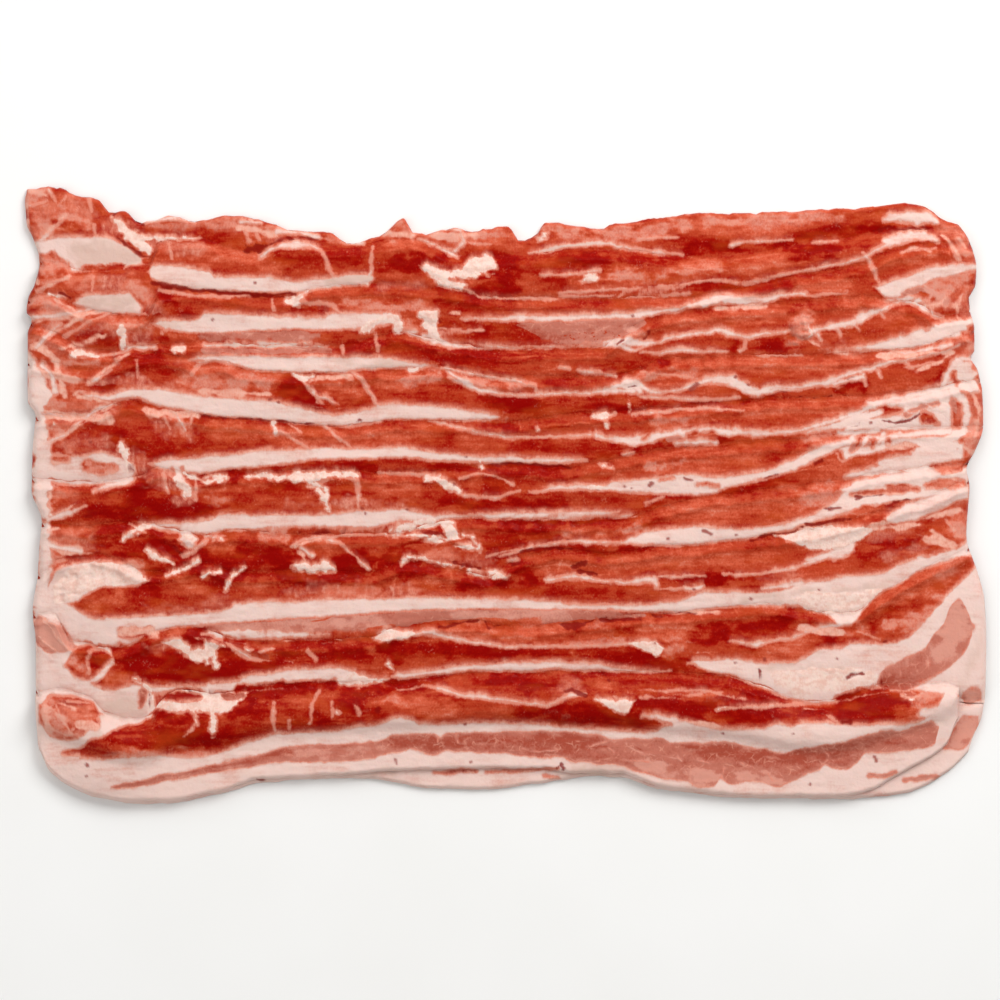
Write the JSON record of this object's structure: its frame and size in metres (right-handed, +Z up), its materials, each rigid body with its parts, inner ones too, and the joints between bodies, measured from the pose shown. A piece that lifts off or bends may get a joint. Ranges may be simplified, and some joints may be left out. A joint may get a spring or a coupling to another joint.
{
  "type": "sliced pork belly",
  "caption": "Raw pork belly cut into thin streaky slices, laid flat in one overlapping row like shingles, with the slices' long lean and fat bands running side by side.",
  "frame": {"origin": "on the surface the row rests on, under the middle of its outline", "axes": "+X along the slices, +Y to the back of the row, where the lowest slice lies, +Z up"},
  "size_m": [0.2916, 0.1872, 0.0102],
  "materials": {
    "raw_pork": "moist raw meat: red lean with cream fat bands, soft sheen"
  },
  "bodies": {
    "root": {"slice_01": "raw_pork", "slice_02": "raw_pork", "slice_03": "raw_pork", "slice_04": "raw_pork", "slice_05": "raw_pork", "slice_06": "raw_pork", "slice_07": "raw_pork", "slice_08": "raw_pork", "slice_09": "raw_pork", "slice_10": "raw_pork", "slice_11": "raw_pork", "slice_12": "raw_pork"}
  },
  "joints": []
}
